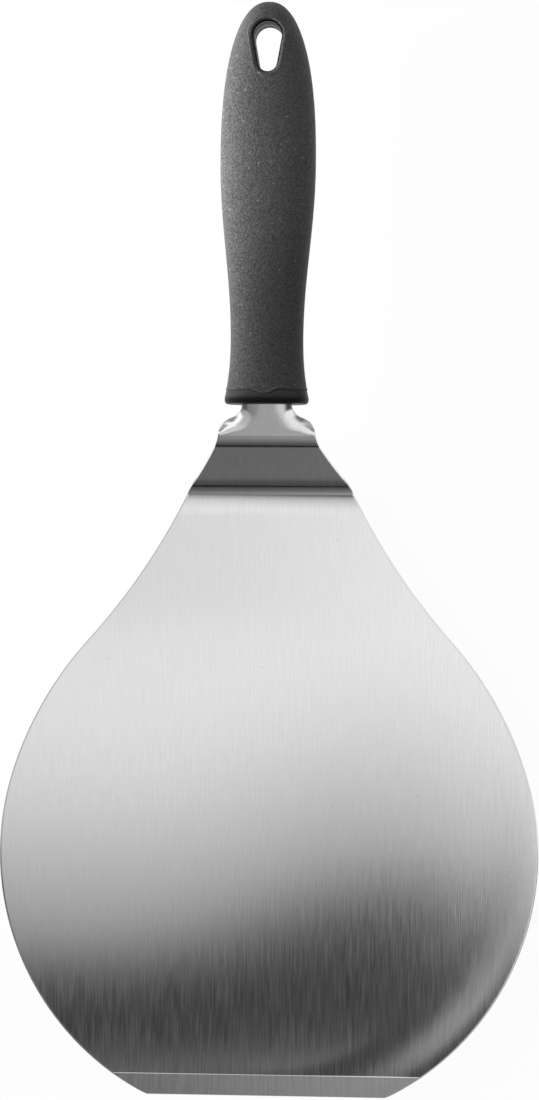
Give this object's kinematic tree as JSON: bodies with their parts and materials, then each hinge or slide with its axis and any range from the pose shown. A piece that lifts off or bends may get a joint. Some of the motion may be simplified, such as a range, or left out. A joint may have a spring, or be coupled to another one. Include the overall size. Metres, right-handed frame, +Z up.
{
  "type": "cake lifter",
  "caption": "Wide round steel cake lifter with a straight ground front edge, a cranked neck and a soft-grip handle with a hanging eye.",
  "frame": {"origin": "centre of the blade's disc, on the flat underside that rests on a table", "axes": "+Y from the straight front edge to the tip of the handle, +Z up through the blade's top face, +X to the right seen from above with the handle away"},
  "size_m": [0.18, 0.3603, 0.0377],
  "materials": {
    "steel": "brushed lengthwise, ground front edge",
    "core": "smooth dark moulding",
    "skin": "soft matt skin with fine light flecks"
  },
  "bodies": {
    "root": {"blade": "steel", "handle_core": "core", "grip_skin": "skin"}
  },
  "joints": []
}
